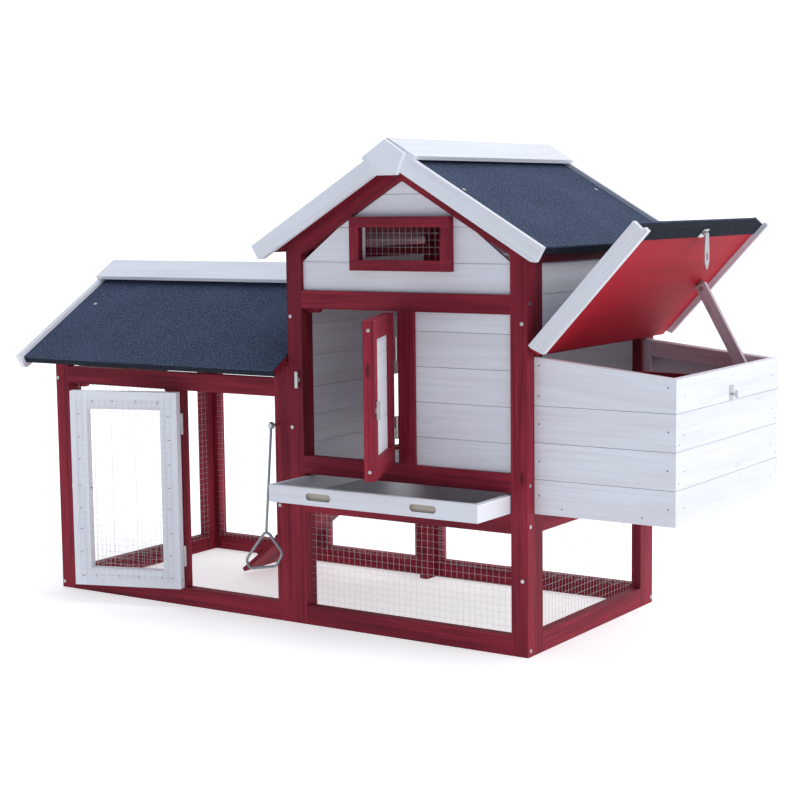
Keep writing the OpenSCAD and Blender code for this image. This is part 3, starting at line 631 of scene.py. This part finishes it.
side_nails("nest_near_boards", near_y, -Y)
side_nails("nest_far_boards", far_y, Y)
end_boards = spans("nest_end_boards")
nails("nest_end_nails", "nest_end_boards",
      [at(end_x, astray(y), astray(low[2] + END_BOARD_RISE)) for low, high in end_boards
       for y in (near_y + CLEAT_NAIL, far_y - CLEAT_NAIL)]
      + [at(end_x, astray(y), astray(low[2] + CORNER_NAIL_RISE)) for low, high in end_boards[1:3]
         for y in (near_y + CORNER_NAIL, far_y - CORNER_NAIL)], X, 1.5)
BOARD_RECESS, GABLE_FROM = 8, 640
nails("back_wall_nails", "back_wall_boards",
      [at(x, DEPTH - BOARD_RECESS, (low[2] + high[2]) / 2) for low, high in spans("back_wall_boards")
       if high[2] < GABLE_FROM for x in (STUD_NAIL, HOUSE_W - STUD_NAIL)], Y)

# The house door: screws in its free edge and nails where its boards meet the hinge stile
STILE = 35
SCREW_INSET = 17
house_joint = JOINTS["house_door_hinge"]
house_turn = math.radians(-house_joint["range_deg"][0])
house_pin = Vector(house_joint["pos_m"])
house_along = Vector((-math.cos(house_turn), -math.sin(house_turn), 0))
house_out = Vector((math.sin(house_turn), -math.cos(house_turn), 0))


def door_extent(node, pin, direction):
    """How far a door's piece reaches from its hinge line in a direction, least and most."""
    reaches = [(Vector(v.co) - pin).dot(direction) / MM for v in NODES[node].data.vertices]
    return min(reaches), max(reaches)


def on_house_door(x, y, z):
    return Vector((house_pin.x, house_pin.y, 0)) + (house_along * x + house_out * y + Z * z) * MM


door_near, door_far = door_extent("house_door_frame", house_pin, house_along)
door_in, door_out = door_extent("house_door_frame", house_pin, house_out)
board_out = door_extent("house_door_boards", house_pin, house_out)[1]
door_low, door_high = (c[2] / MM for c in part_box("house_door_frame"))
door_mid = (door_in + door_out) / 2
screw_heights = (door_low + SCREW_INSET, door_high - SCREW_INSET)
nails("house_door_screws", "house_door_frame", [on_house_door(door_far, door_mid, z) for z in screw_heights],
      house_along, 3.4, ZINC)
# Small dark discs on the screw heads: painted shade of the screw slots.
nails("house_door_screw_slot_shade", "house_door_frame",
      [on_house_door(door_far + 0.25, door_mid, z) for z in screw_heights], house_along, 1.1)
panel_low, panel_high = door_low + STILE, door_high - STILE
publish("house_door_nails",
        merge([stud(on_house_door(door_near + STILE + 3, board_out, panel_high - (panel_high - panel_low) * k),
                    house_out, 2.0 * MM, 2.2 * MM) for k in (0.1, 0.4, 0.7)]), DARK_STEEL_AND_HOLE_SHADE, "house_door_boards")

# The run door: staples along its mesh, a screw near its lower hinge and the end of its button's bolt
STAPLE_GAP, STAPLE_INSET, STAPLE_HALF, STAPLE_R = 48, 5, 3.2, 0.45
door_staples = []
mesh_low, mesh_high = min(tall) + STAPLE_INSET, max(tall) - STAPLE_INSET
mesh_near, mesh_far = min(reach) + STAPLE_INSET, max(reach) - STAPLE_INSET
lift = max(rises) + 0.1


def staple(x, z, upright):
    half = (Z if upright else door_along) * STAPLE_HALF * MM
    centre = on_run_door(x, lift, z)
    return tube([centre - half, centre + half], STAPLE_R * MM, 5)


for z in np.arange(mesh_low, mesh_high, STAPLE_GAP):
    door_staples += [staple(astray(mesh_near), astray(z, 4), False), staple(astray(mesh_far), astray(z, 4), False)]
for x in np.arange(mesh_near + STAPLE_GAP / 2, mesh_far, STAPLE_GAP):
    door_staples += [staple(astray(x, 4), astray(mesh_low), True), staple(astray(x, 4), astray(mesh_high), True)]
publish("run_door_staples", merge(door_staples), DARK_STEEL_AND_HOLE_SHADE, "run_door_mesh")
run_near, run_far = door_extent("run_door_frame", door_pin, door_along)
run_in, run_out = door_extent("run_door_frame", door_pin, door_inward)
run_low, run_high = (c[2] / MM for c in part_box("run_door_frame"))
run_mid = (run_in + run_out) / 2
nails("run_door_screw", "run_door_frame", [on_run_door(run_near, run_mid, run_low + SCREW_INSET)], -door_along, 2.6)
bolt = [on_run_door(run_far - STILE + k, run_mid, (run_low + run_high) / 2) for k in (1, -5)]
publish("run_door_bolt_end", tube(bolt, 1.3 * MM, 8), DARK_STEEL_AND_HOLE_SHADE, "run_door_frame")

# The plate that the hasp's staple stands on
PLATE_T, PLATE_W, PLATE_H, PLATE_RISE = 0.5, 15, 26, 3
staple_pin = Vector(JOINTS["hasp_staple_turn"]["pos_m"])
plate_at = Vector((ORIGIN.x + (end_x + PLATE_T / 2) * MM, staple_pin.y, staple_pin.z + PLATE_RISE * MM))
plate_size = Matrix.Diagonal((PLATE_T * MM, PLATE_W * MM, PLATE_H * MM, 1))
plate = bmesh.new()
bmesh.ops.create_cube(plate, size=1.0, matrix=Matrix.Translation(plate_at) @ plate_size)
publish("staple_plate", plate, ZINC, "nest_end_boards")
# Small dark discs on the plate: painted shade inside its holes.
nails("staple_plate_hole_shade", "nest_end_boards",
      [at(end_x + 0.3, (staple_pin.y - ORIGIN.y) / MM + k, staple_pin.z / MM + 12) for k in (-4, 4)], X, 1.5)

# ---------- studio ----------

floor_mesh = bmesh.new()
profile = [(-6.0, 0.0), (3.4, 0.0)] + [(3.4 + 1.6 * math.sin(t), 1.6 - 1.6 * math.cos(t))
                                       for t in np.linspace(0.1, math.pi / 2, 14)] + [(5.0, 7.0)]
sides = [[floor_mesh.verts.new((x, y, z)) for y, z in profile] for x in (-9.0, 9.0)]
for i in range(len(profile) - 1):
    floor_mesh.faces.new((sides[0][i], sides[1][i], sides[1][i + 1], sides[0][i + 1]))
floor_data = bpy.data.meshes.new("studio_sweep")
floor_mesh.to_mesh(floor_data)
floor_mesh.free()
for face in floor_data.polygons:
    face.use_smooth = True
floor_data.materials.append(plain("studio paper", (0.8, 0.8, 0.8, 1), 0.9, 0.5))
floor = bpy.data.objects.new("studio_sweep", floor_data)
floor.rotation_euler.z = math.radians(33.6)
bpy.context.collection.objects.link(floor)

world = bpy.data.worlds.new("studio")
world.use_nodes = True
world.node_tree.nodes["Background"].inputs["Color"].default_value = (0.76, 0.86, 1.0, 1)
world.node_tree.nodes["Background"].inputs["Strength"].default_value = 0.41
bpy.context.scene.world = world


def sun(name, direction, strength, spread, colour=(1, 1, 1)):
    """Soft light that travels towards the origin from the given direction."""
    data = bpy.data.lights.new(name, "SUN")
    data.energy = strength
    data.angle = math.radians(spread)
    data.color = colour
    lamp = bpy.data.objects.new(name, data)
    lamp.rotation_euler = Vector(direction).to_track_quat("Z", "Y").to_euler()
    bpy.context.collection.objects.link(lamp)


sun("key", (0.9, 0.05, 0.5), 1.3, 35, (1.0, 0.98, 0.96))
sun("top", (0.1, 0.2, 1.0), 1.15, 50, (0.92, 0.96, 1.0))

# ---------- camera ----------

YAW, PITCH_DOWN, ROLL = (math.radians(a) for a in (33.627, 6.552, -0.670))
forward = Vector((-math.sin(YAW) * math.cos(PITCH_DOWN), math.cos(YAW) * math.cos(PITCH_DOWN),
                  -math.sin(PITCH_DOWN)))
right = Vector((math.cos(YAW), math.sin(YAW), 0))
upward = right.cross(forward)
turned_right = right * math.cos(ROLL) + upward * math.sin(ROLL)
turned_up = upward * math.cos(ROLL) - right * math.sin(ROLL)
lens = bpy.data.cameras.new("camera")
lens.sensor_width = 36
lens.lens = 77.83
lens.clip_end = 60
camera = bpy.data.objects.new("camera", lens)
basis = Matrix((turned_right, turned_up, -forward)).transposed().to_4x4()
camera.matrix_world = Matrix.Translation(at(HOUSE_W + 1509.3, -2680.4, 827.7)) @ basis
bpy.context.collection.objects.link(camera)
bpy.context.scene.camera = camera
bpy.context.scene.view_settings.view_transform = "Standard"
